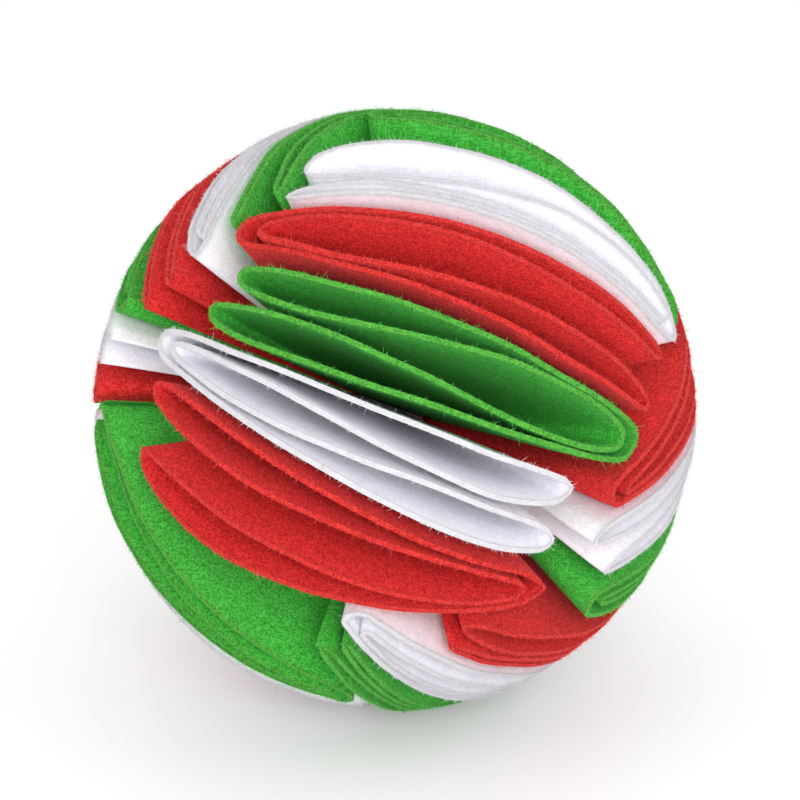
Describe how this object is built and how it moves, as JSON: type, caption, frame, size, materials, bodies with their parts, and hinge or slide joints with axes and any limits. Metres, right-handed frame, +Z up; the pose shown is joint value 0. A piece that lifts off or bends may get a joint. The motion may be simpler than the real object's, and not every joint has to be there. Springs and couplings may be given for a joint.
{
  "type": "felt snuffle ball pet toy",
  "caption": "Ball of round felt discs, each folded in quarters and tied at the middle, whose open folds hide dry pet food for foraging.",
  "frame": {"origin": "centre of the ball", "axes": "+Z up as the ball rests in the picture, -Y towards its viewer, +X to the viewer's right"},
  "size_m": [0.1498, 0.1497, 0.1495],
  "materials": {
    "felt_green": "matt craft felt",
    "felt_white": "matt craft felt",
    "felt_red": "matt craft felt",
    "cord": "twisted nylon thread"
  },
  "bodies": {
    "root": {"front_petal_1_green": "felt_green", "front_petal_2_white": "felt_white", "front_petal_3_red": "felt_red", "front_petal_4_green": "felt_green", "front_petal_5_white": "felt_white", "front_petal_6_red": "felt_red", "front_thread": "cord", "right_petal_1_red": "felt_red", "right_petal_2_white": "felt_white", "right_petal_3_green": "felt_green", "right_petal_4_red": "felt_red", "right_petal_5_white": "felt_white", "right_petal_6_green": "felt_green", "right_thread": "cord", "left_petal_1_green": "felt_green", "left_petal_2_white": "felt_white", "left_petal_3_red": "felt_red", "left_petal_4_green": "felt_green", "left_petal_5_white": "felt_white", "left_petal_6_red": "felt_red", "left_thread": "cord", "back_petal_1_green": "felt_green", "back_petal_2_white": "felt_white", "back_petal_3_red": "felt_red", "back_petal_4_green": "felt_green", "back_petal_5_white": "felt_white", "back_petal_6_red": "felt_red", "back_thread": "cord", "centre_knot": "cord"}
  },
  "joints": []
}
